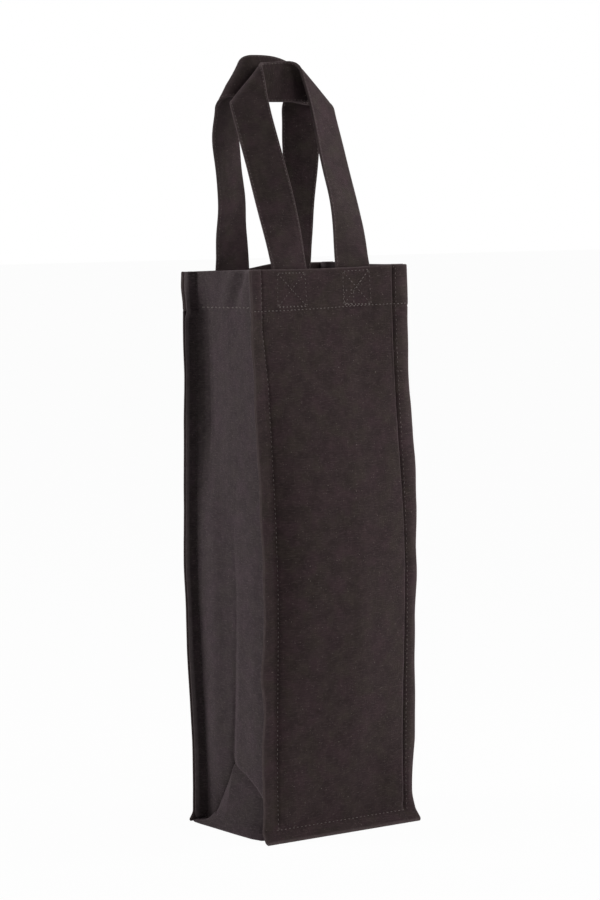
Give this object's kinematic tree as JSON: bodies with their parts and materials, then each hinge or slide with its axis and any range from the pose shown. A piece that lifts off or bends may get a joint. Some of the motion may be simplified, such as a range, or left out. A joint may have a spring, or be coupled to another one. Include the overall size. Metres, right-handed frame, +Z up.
{
  "type": "bottle carrier",
  "caption": "Upright dark canvas bag for a wine bottle, open at the top, with set-in side gussets, raised seam ridges, a turned-in hem and folded strap handles.",
  "frame": {"origin": "on the floor, under the middle of the bag (bottom centre of the bounding box)", "axes": "+Z up from the floor to the handles; -Y is the way the front panel faces; -X is the way the left gusset faces"},
  "size_m": [0.117, 0.093, 0.4825],
  "materials": {
    "panel_canvas": "matt plain-weave cotton canvas, near-black reddish brown",
    "gusset_canvas": "matt plain-weave cotton canvas, near-black reddish brown, creased",
    "strap_canvas": "matt folded canvas tape, edge stitched"
  },
  "bodies": {
    "bag": {"front_panel": "panel_canvas", "back_panel": "panel_canvas", "left_gusset": "gusset_canvas", "right_gusset": "gusset_canvas", "base_gusset": "gusset_canvas", "front_handle_ends": "strap_canvas", "back_handle_ends": "strap_canvas"},
    "front_loop": {"front_handle": "strap_canvas"},
    "back_loop": {"back_handle": "strap_canvas"}
  },
  "joints": [
    {"name": "front_handle_swing", "type": "hinge", "parent": "bag", "child": "front_loop", "pos_m": [-0.0032, -0.03885, 0.35], "axis": [1, 0, 0], "range_deg": [0, 182]},
    {"name": "back_handle_swing", "type": "hinge", "parent": "bag", "child": "back_loop", "pos_m": [0.0023, 0.03885, 0.35], "axis": [-1, 0, 0], "range_deg": [0, 167]}
  ]
}
